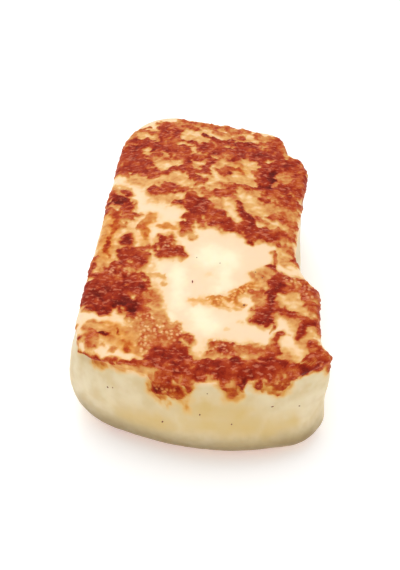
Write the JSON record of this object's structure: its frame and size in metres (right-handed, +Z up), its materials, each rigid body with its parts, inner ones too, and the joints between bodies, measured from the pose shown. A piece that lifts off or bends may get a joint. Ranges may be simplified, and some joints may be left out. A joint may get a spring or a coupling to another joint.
{
  "type": "fried farmhouse cheese block",
  "caption": "Whole block of pan-fried grilling cheese with a browned top crust, lobed right edge and rounded pale front wall, lying flat.",
  "frame": {"origin": "middle of the footprint's bounding box, on the flat underside", "axes": "+Z up through the fried top, +Y along the block from its bowed front end to its slanted back end, +X to the lobed side"},
  "size_m": [0.0716, 0.1212, 0.0345],
  "materials": {
    "cheese": "moist pale cheese with an uneven golden to dark brown fried crust"
  },
  "bodies": {
    "root": {"cheese_block": "cheese"}
  },
  "joints": []
}
